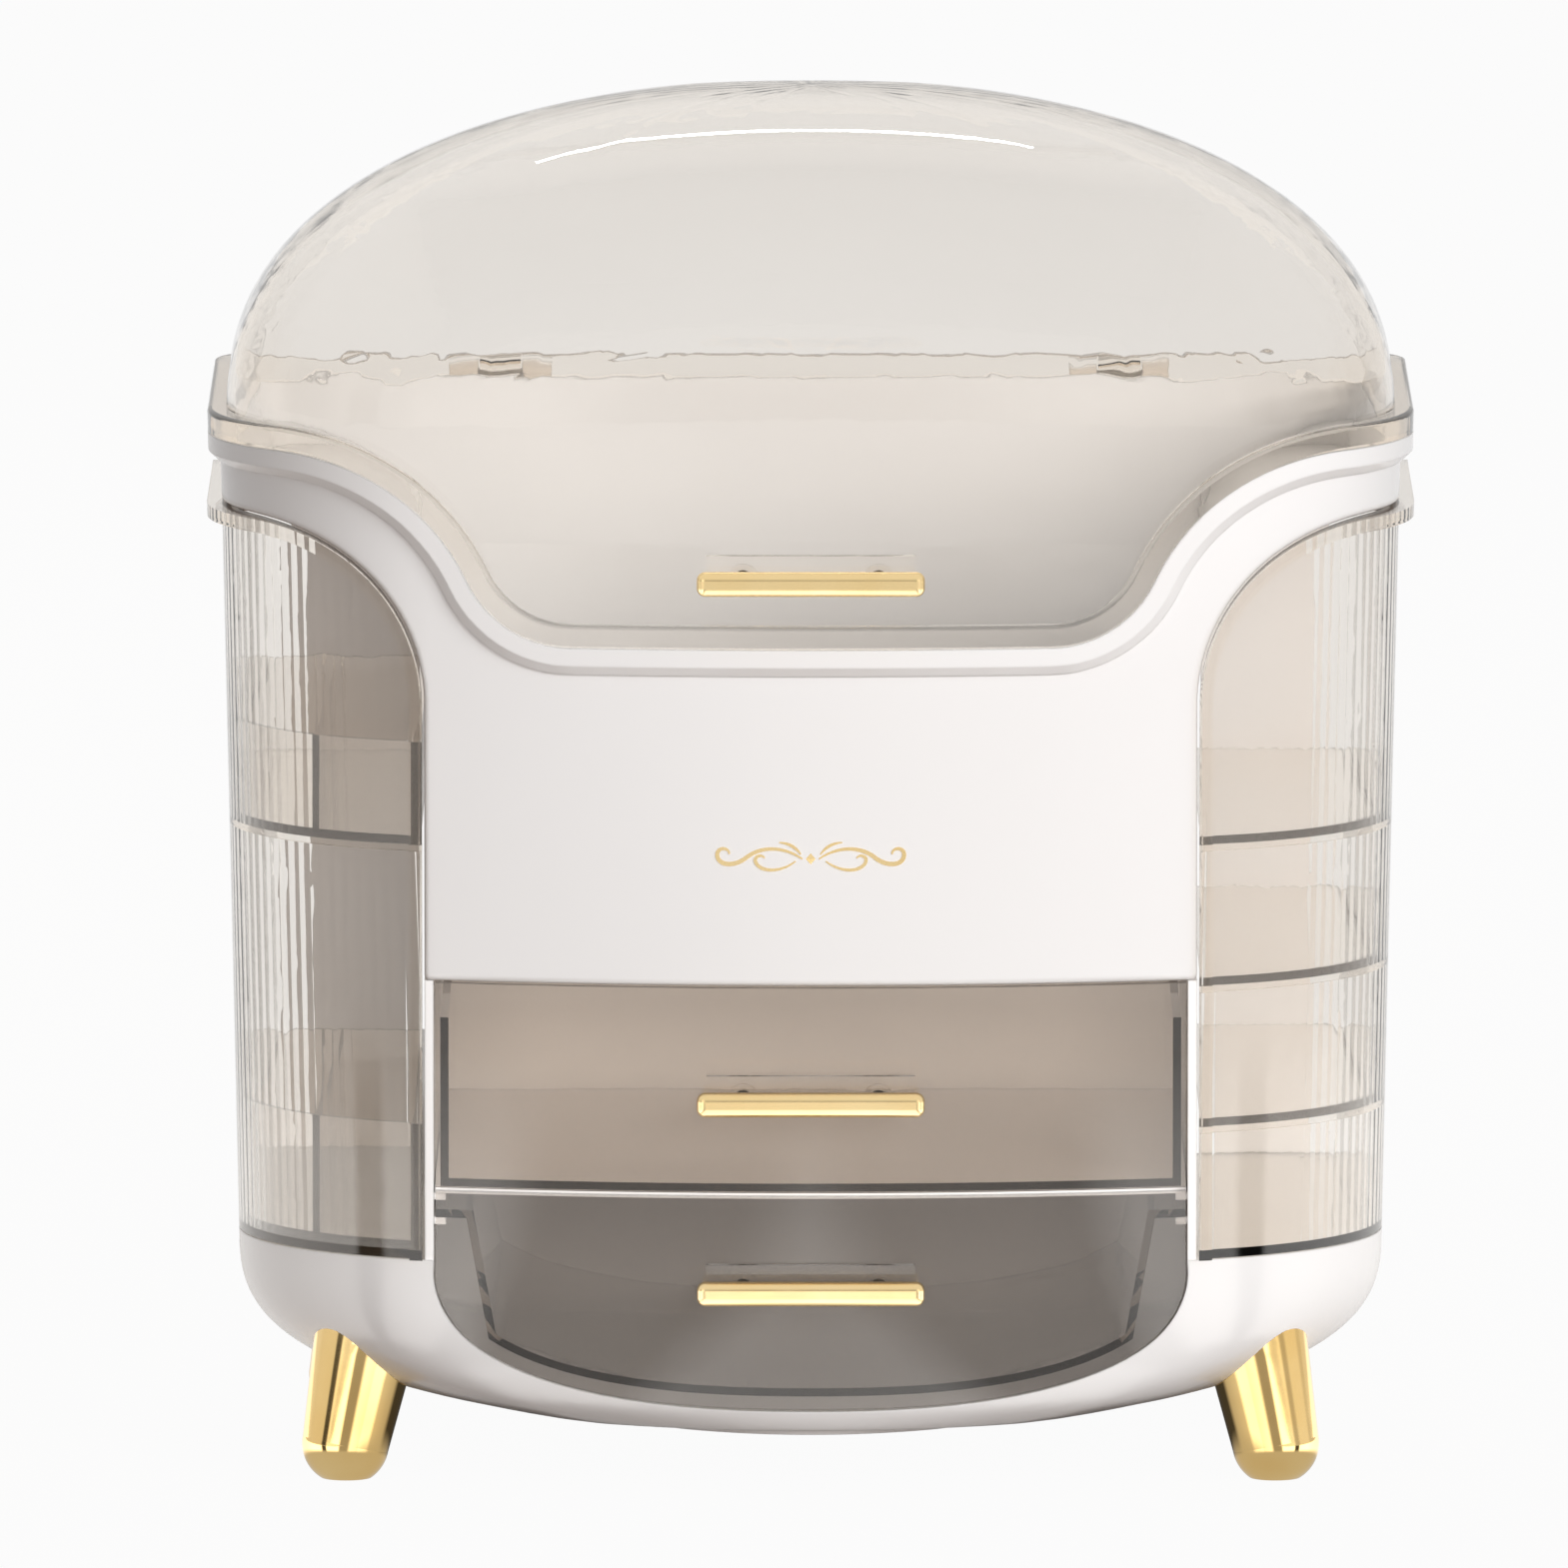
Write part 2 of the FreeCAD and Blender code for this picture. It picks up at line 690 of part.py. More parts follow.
tub_spots = []
for x in (-tub_screw_x, tub_screw_x):
    tub_spots += [V(x, y, tub_floor_z) for y in (tub_screw_front_y, tub_screw_rear_y)]
tub_bosses = []
for spot in tub_spots:
    low = spot - V(tub_boss_half, tub_boss_half, tub_boss_drop)
    tub_bosses.append(slab(low, spot + V(tub_boss_half, tub_boss_half, 0)))
pieces = [deck, cabinet_back] + both_sides(right_cheek) + tub_bosses
pieces += both_sides(ledge(rail_top_z)) + both_sides(ledge(divider_top_z - divider_thickness))
pivot_low = V(pivot_x, pivot_y, deck_low_z - pivot_boss_drop)
pivot_boss = rod(pivot_boss_radius, pivot_low, V(pivot_x, pivot_y, deck_z))
pieces += both_sides(pivot_boss)
cabinet = joined(pieces)
low_pin = rod(pivot_radius, V(pivot_x, pivot_y, deck_z - pivot_bite), V(pivot_x, pivot_y, box_floor_top_z))
cuts = [sunk_hole(V(x, y, deck_z), sunk_length) for x, y in post_spots]
cuts += [rod(sunk_radius, spot - V(0, 0, tub_screw_length), spot) for spot in tub_spots]
cabinet = cabinet.cut(cuts + both_sides(low_pin))
save("drawer_cabinet", cabinet)
deck_screws = [sunk_screw(V(x, y, deck_z), sunk_length) for x, y in post_spots]
save("deck_screws", Part.makeCompound(deck_screws))

# Divider between the two drawers
divider_low = V(-bay_half_width + slide_gap, -reach, divider_top_z - divider_thickness)
divider_zone = slab(divider_low, V(bay_half_width - slide_gap, cabinet_inner_y - slide_gap, divider_top_z))
drawer_divider = body(divider_setback, deck_z, tub_floor_z).common(divider_zone)
save("drawer_divider", drawer_divider)

# Upper tub with its S-curved rim and hinge knuckles
tub_form = body(0, tub_floor_z, rim_side_z + rim_height)
tub_floor_form = above_tub_floor(0)
tub_blank = tub_form.common(tub_floor_form)
tub_blank = tub_blank.makeFillet(tub_edge_round, shared_edges(tub_blank, tub_form, tub_floor_form))
band_form = body(-rim_projection, tub_floor_z, rim_side_z + rim_height)
band = band_form.cut(below_rim(-rim_height))
band = band.makeChamfer(rim_chamfer, wall_edges(band, band_form, tub_floor_z))
tub = joined([tub_blank, band]).common(below_rim(0))
tub_cavity = body(wall, tub_floor_z, rim_side_z + rim_height).common(above_tub_floor(wall))
tub = tub.cut(tub_cavity)


def knuckle(x, length, web_low_z, web_high_z):
    # a hinge barrel and the web that joins it to a rim
    start = V(x - length / 2, hinge_y, rim_side_z)
    barrel = rod(knuckle_radius, start, start + V(length, 0, 0))
    low = V(x - length / 2, back_y - wall / 2, web_low_z)
    return barrel.fuse(slab(low, V(x + length / 2, hinge_y, web_high_z))).removeSplitter()


def hinge_rod(x, length, radius):
    return rod(radius, V(x - length / 2, hinge_y, rim_side_z), V(x + length / 2, hinge_y, rim_side_z))


knuckle_step = (lid_knuckle_length + tub_knuckle_length) / 2 + knuckle_gap
hinge_length = lid_knuckle_length + 2 * (tub_knuckle_length + knuckle_gap)
tub_knuckles = []
for x in (-hinge_x, hinge_x):
    for step in (-knuckle_step, knuckle_step):
        web_low_z = rim_side_z - knuckle_web
        tub_knuckles.append(knuckle(x + step, tub_knuckle_length, web_low_z, rim_side_z - seat_gap))
upper_boss_low = V(pivot_x, pivot_y, gusset_high_z + pivot_gap)
upper_boss = rod(pivot_boss_radius, upper_boss_low, V(pivot_x, pivot_y, shoulder_z))
tub = joined([tub] + tub_knuckles + both_sides(upper_boss))
upper_pin_top = V(pivot_x, pivot_y, upper_boss_low.z + pivot_bite)
upper_pin = rod(pivot_radius, V(pivot_x, pivot_y, gusset_low_z), upper_pin_top)
cuts = both_sides(upper_pin)
cuts += [hinge_rod(x, hinge_length, hinge_pin_radius) for x in (-hinge_x, hinge_x)]
tub_screw_rise = V(0, 0, wall)
cuts += [sunk_hole(spot + tub_screw_rise, wall) for spot in tub_spots]
tub = tub.cut(cuts)
save("upper_tub", tub)
tub_screws = [sunk_screw(spot + tub_screw_rise, wall + tub_screw_length) for spot in tub_spots]
save("tub_screws", Part.makeCompound(tub_screws))
hinge_pins = [hinge_rod(x, hinge_length, hinge_pin_radius) for x in (-hinge_x, hinge_x)]
save("lid_hinge_pins", Part.makeCompound(hinge_pins))
save("right_pivot_pins", Part.makeCompound([low_pin, upper_pin]))
save("left_pivot_pins", mirrored(Part.makeCompound([low_pin, upper_pin])))

# Domed lid with its rim flange
dome_outer = dome(0)
dome_inner = dome(wall)
flange_form = body(-rim_projection, skirt_low_z, lid_spring_z + flange_height)
flange = flange_form.common(below_rim(flange_height))
flange = flange.makeFillet(flange_round, wall_edges(flange, flange_form, skirt_low_z + seat_gap))
lid = joined([dome_outer, flange]).cut(below_rim(seat_gap)).cut(dome_inner)
lid_knuckles = []
for x in (-hinge_x, hinge_x):
    lid_knuckles.append(knuckle(x, lid_knuckle_length, rim_side_z + seat_gap, rim_side_z + knuckle_web))
lid = joined([lid] + lid_knuckles)
lid_bores = [hinge_rod(x, hinge_length, hinge_pin_radius + hinge_running) for x in (-hinge_x, hinge_x)]
lid = lid.cut(lid_bores)
lid_front_y = plan_shift - lid_half_depth
lid = fit_pull(lid, lid_front_y, wall, lid_pull_z)
save("lid_dome", lid)
save("lid_pull", pull_bar(lid_front_y, lid_pull_z))
save("lid_pull_screws", pull_screws(lid_front_y, wall, lid_pull_z))

# Middle drawer
drawer_front_y = front_y + front_recess
drawer_back_y = cabinet_inner_y - drawer_tail
middle_half_width = bay_half_width - middle_side_gap
middle_floor_z = divider_top_z + slide_gap
front_skin = body(front_recess, 0, tub_floor_z).cut(body(front_recess + front_thickness, 0, tub_floor_z))
middle_zone_high = V(front_half_width, plan_shift, tub_floor_z - seam_gap)
middle_zone = slab(V(-front_half_width, -reach, middle_low_z), middle_zone_high)
middle_front = front_skin.common(middle_zone)
middle_body = body(front_recess + front_thickness / 2, 0, tub_floor_z)
box_zone_high = V(middle_half_width, drawer_back_y, middle_box_top_z)
box_zone = slab(V(-middle_half_width, -reach, middle_floor_z), box_zone_high)
middle_box = middle_body.common(box_zone)
inner_low = V(-middle_half_width + tray_wall, -reach, middle_floor_z + tray_wall)
inner_high = V(middle_half_width - tray_wall, drawer_back_y - tray_wall, tub_floor_z)
middle_inside = body(front_recess + front_thickness, 0, tub_floor_z).common(slab(inner_low, inner_high))
middle_drawer = joined([middle_front, middle_box]).cut(middle_inside)
middle_drawer = fit_pull(middle_drawer, drawer_front_y, front_thickness, middle_pull_z)
save("middle_drawer", middle_drawer)
save("middle_pull", pull_bar(drawer_front_y, middle_pull_z))
save("middle_pull_screws", pull_screws(drawer_front_y, front_thickness, middle_pull_z))

# Lower drawer: a keel-shaped front and a hanging tray
flange_low_z = rail_top_z + slide_gap
flange_top_z = flange_low_z + flange_thickness
keel_front = prism(lower_edges(front_half_width, lower_drop, lower_top_z), -reach, plan_shift)
lower_front = front_skin.common(keel_front)


def tray_form(inset, low_y, high_y, top_z):
    # drafted sides over a curved keel
    top = tray_half_width - inset + tray_slope_share * (top_z - flange_top_z)
    bottom = tray_half_width - inset - tray_slope_share * flange_top_z
    corners = [V(-top, 0, top_z), V(-bottom, 0, 0), V(bottom, 0, 0), V(top, 0, top_z), V(-top, 0, top_z)]
    sides = prism(path(corners), low_y, high_y)
    keel_half = front_half_width - tray_inset - inset
    keel = prism(lower_edges(keel_half, lower_drop - tray_inset - inset, top_z), low_y, high_y)
    return sides.common(keel)


tray_body = body(front_recess + front_thickness / 2, 0, tub_floor_z)
tray_outer = tray_form(0, -reach, drawer_back_y, flange_top_z).common(tray_body)
tray_inner = tray_form(tray_wall, -reach, drawer_back_y - tray_wall, lower_top_z)
tray_inner = tray_inner.common(body(front_recess + front_thickness, 0, tub_floor_z))
flange_half = bay_half_width - flange_side_gap
flange_zone = slab(V(-flange_half, -reach, flange_low_z), V(flange_half, drawer_back_y, flange_top_z))
tray_flange = tray_body.common(flange_zone)
lower_drawer = joined([lower_front, tray_outer, tray_flange]).cut(tray_inner)
lower_drawer = fit_pull(lower_drawer, drawer_front_y, front_thickness, lower_pull_z)
save("lower_drawer", lower_drawer)
save("lower_pull", pull_bar(drawer_front_y, lower_pull_z))
save("lower_pull_screws", pull_screws(drawer_front_y, front_thickness, lower_pull_z))

# Side boxes: a clear cover with a rim lip, a white back plate, and trays on the left or shelves on the right
lip_rear_y = back_y - lip_rear_inset
corner_spot = V(box_inner_x + rear_radius, back_y - rear_radius, 0)
corner_square = slab(V(0, corner_spot.y, 0), V(corner_spot.x, back_y + wall, shoulder_z))
swing_corner = corner_square.cut(rod(rear_radius, corner_spot, corner_spot + V(0, 0, shoulder_z)))
swing_slice = under_arch(0).common(slab(V(0, pivot_y, 0), V(pivot_x, back_y, shoulder_z)))
swing_face = min(swing_slice.Faces, key=lambda face: face.CenterOfMass.y)
swing_room = swing_face.revolve(V(pivot_x, pivot_y, 0), V(0, 0, 1), -90)
swing_cuts = [swing_corner, slab(V(0, pivot_y, 0), V(pivot_x, back_y + wall, shoulder_z)).cut(swing_room)]
swing_cuts.append(slab(V(0, lip_rear_y, rear_top_z), V(reach, reach, shoulder_z)))
lip_zone = slab(V(0, -reach, 0), V(reach, lip_rear_y, shoulder_z))
lip_form = body(-lip_projection, box_low_z, shoulder_z).cut(under_arch(lip_width)).common(lip_zone)
cover_form = joined([body(0, box_low_z, shoulder_z), lip_form])
cover = cover_form.common(under_arch(0)).cut(swing_cuts)
reeded_lengths = [edge.Length for edge in plan_edges(deck_half_width, wall, deck_z)[1:3]]
reed_counts = [round(length / reed_pitch) for length in reeded_lengths]


def reeds_along(edge, count, start):
    # shallow hollows side by side along an edge of the plan, each one arched outwards
    spots = edge.discretize(count + 1)
    if (spots[0] - start).Length > (spots[-1] - start).Length:
        spots.reverse()
    hollows = []
    for spot, after in zip(spots, spots[1:]):
        along = (after - spot).normalize()
        middle = (spot + after) / 2 + V(along.y, -along.x, 0) * reed_depth
        hollows.append(arc(spot, middle, after))
    return hollows, spots[-1]


def reeded_room(low_z, high_z):
    # the room inside the clear walls, with upright reeds round the corner and along the side
    wires = []
    for z in (low_z, high_z):
        edges = plan_edges(width_at(z), wall, z)
        corner, side_front = reeds_along(edges[1], reed_counts[0], edges[0].Vertexes[-1].Point)
        side, side_rear = reeds_along(edges[2], reed_counts[1], side_front)
        wires.append(Part.Wire(edges[:1] + corner + side + edges[3:]))
    return Part.makeLoft(wires, True, True)


right_half = slab(V(0, -reach, 0), V(reach, reach, reach))
cover = cover.cut(reeded_room(box_floor_top_z, shoulder_z).common(right_half))
plate_back_y = back_y - wall - slide_gap
plate_front_y = plate_back_y - plate_thickness
inside_rear_y = plate_front_y - slide_gap
shelf_levels = [deck_z + shelf_pitch * step for step in (1, 2, 3)]


def inside_form(inset, low_z, high_z):
    # the room for a shelf or tray inside a side box
    form = body(wall + inset, low_z, high_z)
    return form.common(slab(V(box_inner_x + inset, -reach, low_z), V(reach, inside_rear_y, high_z)))


def shelf_ledge_at(top_z):
    # a narrow ledge round the wall under a shelf or tray
    low_z = top_z - shelf_ledge_drop
    form = body(wall / 2, low_z, top_z).cut(body(wall + shelf_ledge, low_z, top_z))
    return form.common(slab(V(box_inner_x, -reach, low_z), V(reach, inside_rear_y, top_z)))


gusset_form = body(wall / 2, gusset_low_z, gusset_high_z).common(under_arch(lip_width))
gusset_zone = slab(V(box_inner_x, back_y - gusset_depth, gusset_low_z), V(reach, back_y, gusset_high_z))
gusset = gusset_form.common(gusset_zone).cut(swing_cuts)
pin_bore_low = V(pivot_x, pivot_y, box_low_z)
pin_bore = rod(pivot_radius + pivot_running, pin_bore_low, V(pivot_x, pivot_y, shoulder_z))


def box_cover(levels):
    ledges = [shelf_ledge_at(level - shelf_thickness) for level in levels]
    return joined([cover, gusset] + ledges).cut(pin_bore)


def shelf(level):
    return inside_form(shelf_gap, level - shelf_thickness, level)


def box_tray(low_z, top_z):
    # an open tray with one partition along its depth
    outer = inside_form(shelf_gap, low_z, top_z)
    inner = body(wall + shelf_gap + tray_skin, low_z + shelf_thickness, top_z)
    room_low = V(box_inner_x + shelf_gap + tray_skin, -reach, low_z + shelf_thickness)
    inner = inner.common(slab(room_low, V(reach, inside_rear_y - tray_skin, top_z)))
    half = tray_skin / 2
    partition = slab(V(tray_divider_x - half, -reach, low_z), V(tray_divider_x + half, reach, top_z))
    return outer.cut(inner.cut(partition))


plate_low = V(plate_inner_x, plate_front_y, box_floor_top_z)
back_plate = slab(plate_low, V(plate_outer_x, plate_back_y, gusset_low_z - slide_gap))
back_plate = back_plate.common(under_arch(plate_inner_gap))
save("right_box_cover", box_cover(shelf_levels))
save("right_box_back_plate", back_plate)
for name, level in zip(("low", "middle", "high"), shelf_levels):
    save("right_shelf_" + name, shelf(level))
upper_tray_low_z = shelf_levels[-1] - shelf_thickness
left_tray_top = upper_tray_low_z + shelf_thickness + upper_tray_rise
save("left_box_cover", mirrored(box_cover(shelf_levels[-1:])))
save("left_box_back_plate", mirrored(back_plate))
save("left_upper_tray", mirrored(box_tray(upper_tray_low_z, left_tray_top)))
save("left_lower_tray", mirrored(box_tray(box_floor_top_z, deck_z + lower_tray_rise)))
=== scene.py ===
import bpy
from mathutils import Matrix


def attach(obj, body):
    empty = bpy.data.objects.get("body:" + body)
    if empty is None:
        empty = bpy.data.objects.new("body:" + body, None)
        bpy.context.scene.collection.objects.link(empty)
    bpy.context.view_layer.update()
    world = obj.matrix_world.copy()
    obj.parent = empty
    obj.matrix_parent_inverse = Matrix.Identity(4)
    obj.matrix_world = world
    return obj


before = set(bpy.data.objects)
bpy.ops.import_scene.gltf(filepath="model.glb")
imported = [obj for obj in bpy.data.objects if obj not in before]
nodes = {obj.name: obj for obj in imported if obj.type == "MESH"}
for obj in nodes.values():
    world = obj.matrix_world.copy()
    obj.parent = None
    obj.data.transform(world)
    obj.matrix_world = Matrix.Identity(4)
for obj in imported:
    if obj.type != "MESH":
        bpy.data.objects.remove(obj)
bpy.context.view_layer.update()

import math

import bmesh
import bpy
from mathutils import Vector

scene = bpy.context.scene

MILLIMETRE = 0.001
WHITE = (1.0, 1.0, 1.0)
BLACK = (0.0, 0.0, 0.0)


# Helpers for node trees

# most values of a noise lie between these two
NOISE_LOW = 0.3
NOISE_HIGH = 0.7
# a mix node's sockets for colours, which share their names with those for numbers
MIX_FIRST = 6
MIX_SECOND = 7
MIX_RESULT = 2


def grey(level):
    return (level, level, level)


def new_material(name):
    material = bpy.data.materials.new(name)
    material.use_nodes = True
    material.node_tree.nodes.clear()
    return material, material.node_tree


def add(tree, kind, settings=None, **sockets):
    # a new node with its settings and the fixed values of its sockets
    node = tree.nodes.new(kind)
    for key, value in (settings or {}).items():
        setattr(node, key, value)
    for key, value in sockets.items():
        node.inputs[key.replace("_", " ")].default_value = value
    return node


def link(tree, source, target):
    tree.links.new(source, target)


def place_coordinates(tree, scale=(1.0, 1.0, 1.0)):
    # the place on the piece, in metres times the scale
    coordinates = add(tree, "ShaderNodeTexCoord")
    mapping = add(tree, "ShaderNodeMapping", Scale=scale)
    link(tree, coordinates.outputs["Object"], mapping.inputs["Vector"])
    return mapping.outputs["Vector"]


def noise(tree, vector, scale, detail=3.0, roughness=0.5):
    node = add(tree, "ShaderNodeTexNoise", Scale=scale, Detail=detail, Roughness=roughness)
    link(tree, vector, node.inputs["Vector"])
    return node.outputs["Fac"]


def ramp(tree, factor, low, high, start=NOISE_LOW, end=NOISE_HIGH):
    # one colour up to the start, another from the end on
    node = add(tree, "ShaderNodeValToRGB")
    stops = node.color_ramp.elements
    stops[0].position = start
    stops[0].color = (*low, 1.0)
    stops[1].position = end
    stops[1].color = (*high, 1.0)
    link(tree, factor, node.inputs["Fac"])
    return node.outputs["Color"]


def spread(tree, factor, low, high):
    # a noise spread between two values
    node = add(tree, "ShaderNodeMapRange", From_Min=NOISE_LOW, From_Max=NOISE_HIGH, To_Min=low, To_Max=high)
    link(tree, factor, node.inputs["Value"])
    return node.outputs["Result"]


def bump(tree, height, strength, distance, normal=None):
    node = add(tree, "ShaderNodeBump", Strength=strength, Distance=distance)
    link(tree, height, node.inputs["Height"])
    if normal is not None:
        link(tree, normal, node.inputs["Normal"])
    return node.outputs["Normal"]


def calculate(tree, operation, first, second):
    # one sum, whose two sides are sockets or numbers
    node = add(tree, "ShaderNodeMath", {"operation": operation})
    for place, value in enumerate((first, second)):
        if isinstance(value, (int, float)):
            node.inputs[place].default_value = value
        else:
            link(tree, value, node.inputs[place])
    return node.outputs["Value"]


def blend_colour(tree, factor, first, second):
    # a mix of two colours, which are sockets or fixed values
    node = add(tree, "ShaderNodeMix", {"data_type": "RGBA"})
    link(tree, factor, node.inputs[0])
    for place, value in ((MIX_FIRST, first), (MIX_SECOND, second)):
        if isinstance(value, tuple):
            node.inputs[place].default_value = (*value, 1.0)
        else:
            link(tree, value, node.inputs[place])
    return node.outputs[MIX_RESULT]


def output(tree, surface, volume=None):
    node = add(tree, "ShaderNodeOutputMaterial")
    link(tree, surface, node.inputs["Surface"])
    if volume is not None:
        link(tree, volume, node.inputs["Volume"])


# Materials, with the scales of their noises in cycles per metre

FINE_DEPTH = 0.0001
FINE_DETAIL = 2.0

MOULDED_IOR = 1.5
COAT_WEIGHT = 0.25
COAT_ROUGHNESS = 0.06
MOTTLE_SCALE = 9.0
SHEEN_SCALE = 12.0
RIPPLE_SCALE = 900.0
RIPPLE_STRENGTH = 0.05
BEVEL_SAMPLES = 2


def moulded_plastic(name, low, high, gloss, edge):
    # opaque glossy moulding: slight mottling, uneven gloss, faint ripple and softened edges
    material, tree = new_material(name)
    place = place_coordinates(tree)
    shader = add(tree, "ShaderNodeBsdfPrincipled", IOR=MOULDED_IOR)
    shader.inputs["Coat Weight"].default_value = COAT_WEIGHT
    shader.inputs["Coat Roughness"].default_value = COAT_ROUGHNESS
    link(tree, ramp(tree, noise(tree, place, MOTTLE_SCALE), low, high), shader.inputs["Base Color"])
    link(tree, spread(tree, noise(tree, place, SHEEN_SCALE), *gloss), shader.inputs["Roughness"])
    bevel = add(tree, "ShaderNodeBevel", {"samples": BEVEL_SAMPLES}, Radius=edge)
    height = noise(tree, place, RIPPLE_SCALE, FINE_DETAIL)
    ripple = bump(tree, height, RIPPLE_STRENGTH, FINE_DEPTH, bevel.outputs["Normal"])
    link(tree, ripple, shader.inputs["Normal"])
    output(tree, shader.outputs["BSDF"])
    return material


CLEAR_IOR = 1.49
TONE_SCALE = 18.0
HAZE_SCALE = 60.0
HAZE_LOW = 0.0
HAZE_HIGH = 0.015


def clear_plastic(name, low, high, passed, tint, density, clearness=1.0):
    # clear moulding: lamplight and scattered light pass with a slight loss, long paths turn brown
    material, tree = new_material(name)
    place = place_coordinates(tree)
    shader = add(tree, "ShaderNodeBsdfPrincipled", IOR=CLEAR_IOR)
    shader.inputs["Transmission Weight"].default_value = clearness
    link(tree, ramp(tree, noise(tree, place, TONE_SCALE), low, high), shader.inputs["Base Color"])
    haze = spread(tree, noise(tree, place, HAZE_SCALE), HAZE_LOW, HAZE_HIGH)
    link(tree, haze, shader.inputs["Roughness"])
    through = add(tree, "ShaderNodeBsdfTransparent", Color=(*passed, 1.0))
    rays = add(tree, "ShaderNodeLightPath")
    surface = shader.outputs["BSDF"]
    for kind in ("Is Diffuse Ray", "Is Shadow Ray"):
        mix = add(tree, "ShaderNodeMixShader")
        link(tree, rays.outputs[kind], mix.inputs[0])
        link(tree, surface, mix.inputs[1])
        link(tree, through.outputs["BSDF"], mix.inputs[2])
        surface = mix.outputs["Shader"]
    absorb = add(tree, "ShaderNodeVolumeAbsorption", Color=(*tint, 1.0), Density=density)
    output(tree, surface, absorb.outputs["Volume"])
    return material


TARNISH_SCALE = 40.0
POLISH_SCALE = 120.0


def metal(name, low, high, gloss, grain_scale, grain):
    # metal with a little tarnish, uneven polish and a fine grain, whose scale may differ along each axis
    material, tree = new_material(name)
    place = place_coordinates(tree)
    drawn = place_coordinates(tree, grain_scale)
    shader = add(tree, "ShaderNodeBsdfPrincipled", Metallic=1.0)
    link(tree, ramp(tree, noise(tree, place, TARNISH_SCALE), low, high), shader.inputs["Base Color"])
    link(tree, spread(tree, noise(tree, place, POLISH_SCALE), *gloss), shader.inputs["Roughness"])
    scratches = bump(tree, noise(tree, drawn, 1.0, FINE_DETAIL), grain, FINE_DEPTH)
    link(tree, scratches, shader.inputs["Normal"])
    output(tree, shader.outputs["BSDF"])
    return material


white = moulded_plastic(
    "white_plastic", low=(0.878, 0.87, 0.866), high=(0.888, 0.881, 0.877), gloss=(0.2, 0.26), edge=0.0008)
clear_lid = clear_plastic(
    "clear_lid", low=(0.962, 0.955, 0.948), high=(0.97, 0.964, 0.958),
    passed=(0.975, 0.968, 0.96), tint=(0.78, 0.62, 0.4), density=38.0)
clear_box = clear_plastic(
    "clear_box", low=(0.982, 0.978, 0.972), high=(0.988, 0.985, 0.98),
    passed=(0.98, 0.973, 0.965), tint=(0.78, 0.61, 0.38), density=36.0)
clear_tray = clear_plastic(
    "clear_tray", low=(0.972, 0.958, 0.94), high=(0.98, 0.967, 0.95),
    passed=(0.98, 0.973, 0.965), tint=(0.8, 0.62, 0.38), density=16.0, clearness=0.93)
# the drawer fronts' darker, warmer tones are partly the plastic's smoky tint and partly painted shade of the
# cabinet inside; the lower drawer is a darker copy of the same plastic, painted shade for its deeper inside
clear_middle = clear_plastic(
    "clear_middle_drawer_tint_and_shade", low=(0.875, 0.825, 0.775), high=(0.887, 0.837, 0.788),
    passed=(0.98, 0.967, 0.952), tint=(0.74, 0.58, 0.4), density=5.0, clearness=0.95)
clear_lower = clear_plastic(
    "clear_lower_drawer_painted_shade", low=(0.68, 0.648, 0.618), high=(0.695, 0.664, 0.634),
    passed=(0.96, 0.95, 0.94), tint=(0.72, 0.58, 0.42), density=5.0, clearness=0.95)
satin_gold = metal(
    "satin_gold", low=(0.92, 0.68, 0.33), high=(0.95, 0.74, 0.4), gloss=(0.2, 0.27),
    grain_scale=(60.0, 2400.0, 2400.0), grain=0.04)
bright_gold = metal(
    "bright_gold", low=(0.86, 0.58, 0.22), high=(0.93, 0.68, 0.31), gloss=(0.05, 0.09),
    grain_scale=(300.0, 300.0, 300.0), grain=0.02)
steel = metal(
    "steel", low=(0.5, 0.49, 0.48), high=(0.62, 0.61, 0.6), gloss=(0.25, 0.4),
    grain_scale=(900.0, 900.0, 900.0), grain=0.1)

finishes = {
    "base_pan": white, "drawer_cabinet": white, "drawer_divider": white, "upper_tub": white,
    "left_box_back_plate": white, "right_box_back_plate": white, "lid_dome": clear_lid,
    "middle_drawer": clear_middle, "lower_drawer": clear_lower,
    "left_box_cover": clear_box, "right_box_cover": clear_box,
    "left_upper_tray": clear_tray, "left_lower_tray": clear_tray,
    "right_shelf_low": clear_tray, "right_shelf_middle": clear_tray, "right_shelf_high": clear_tray,
}
for name, node in nodes.items():
    if name in finishes:
        finish = finishes[name]
    elif name.endswith("_pull"):
        finish = satin_gold
    elif name.endswith("_foot"):
        finish = bright_gold
    else:
        finish = steel
    node.data.materials.clear()
    node.data.materials.append(finish)


# Gold flourish on the white front

# the bowed front of the solids, in metres
FRONT_Y = -0.10775
FRONT_RADIUS = 0.422
MARK_Z = 0.1712
MARK_SINK = 0.0001
STROKE_LIFT = 0.00022
STROKE_STEPS = 14
STROKE_TIP_SHARE = 0.35
STROKE_SWELL_POWER = 0.8
# the middles of a stroke's curves and its greatest width, drawn for the right half in millimetres
OUTER_SCROLL = ([(2.2, 0.0), (7.0, 3.4), (13.0, 3.6), (17.0, 0.4), (20.0, -2.2), (24.6, -2.0), (24.8, 0.9),
                 (25.0, 3.2), (21.6, 3.3), (21.6, 1.2)], 1.2)
INNER_SCROLL = ([(4.0, -0.6), (8.0, -3.8), (13.4, -3.6), (14.6, -0.9), (15.2, 0.7), (13.0, 1.5),
                 (12.2, 0.2)], 0.95)
LEAF = ([(2.6, 1.2), (4.0, 3.2), (5.6, 4.2), (8.4, 4.4)], 0.8)
DIAMOND = [(0.0, 1.7), (1.5, 0.0), (0.0, -1.7), (-1.5, 0.0)]
DIAMOND_LIFT = 0.0005


def front_point(x, z, lift):
    # a point on the bowed front, lifted off it
    return Vector((x, FRONT_Y + FRONT_RADIUS - math.sqrt((FRONT_RADIUS + lift) ** 2 - x * x), z))


